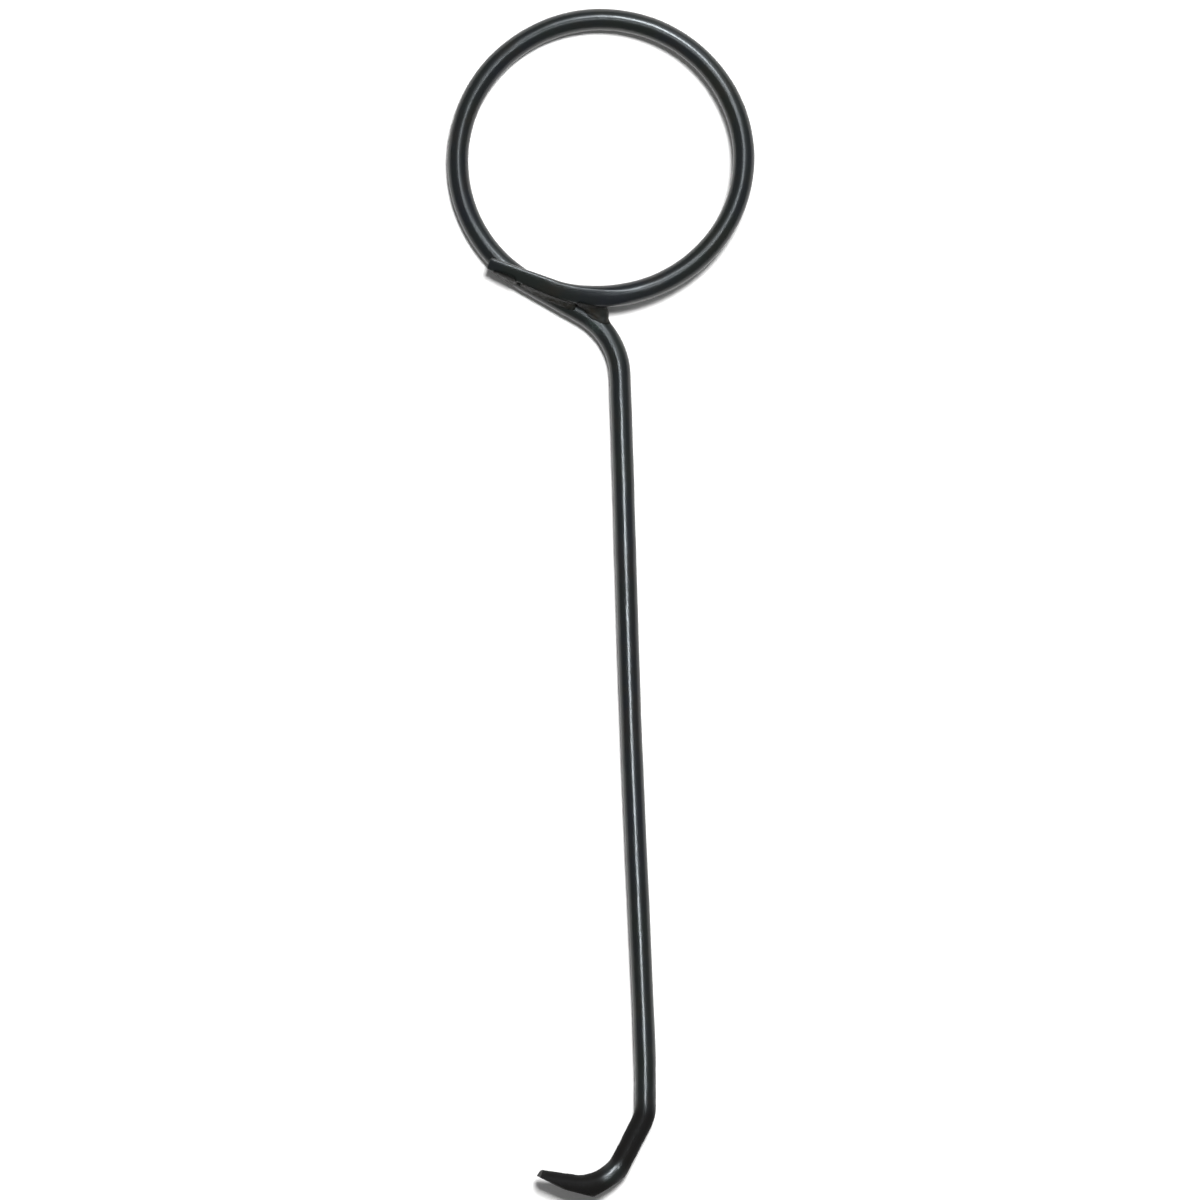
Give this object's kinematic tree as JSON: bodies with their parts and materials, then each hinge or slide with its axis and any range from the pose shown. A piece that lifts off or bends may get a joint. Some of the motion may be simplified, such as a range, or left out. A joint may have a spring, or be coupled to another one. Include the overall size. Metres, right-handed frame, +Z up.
{
  "type": "hive tool",
  "caption": "Hive tool bent from round steel bar: welded finger ring, straight shank and a ground hook for prying and lifting hive frames, painted satin black.",
  "frame": {"origin": "middle of the tool's bounding box in plan, at the height of the table it lies on", "axes": "+Y along the shank towards the finger ring, -X the way the hook's tip points, +Z up out of the table, on the side where the ring's closing end laps over the neck"},
  "size_m": [0.0854, 0.3296, 0.0124],
  "materials": {
    "satin_black_paint": "satin black paint over drawn steel bar",
    "painted_weld": "satin black paint over rippled weld metal"
  },
  "bodies": {
    "root": {"bent_bar": "satin_black_paint", "lap_weld": "painted_weld", "end_tack_weld": "painted_weld", "throat_weld": "painted_weld"}
  },
  "joints": []
}
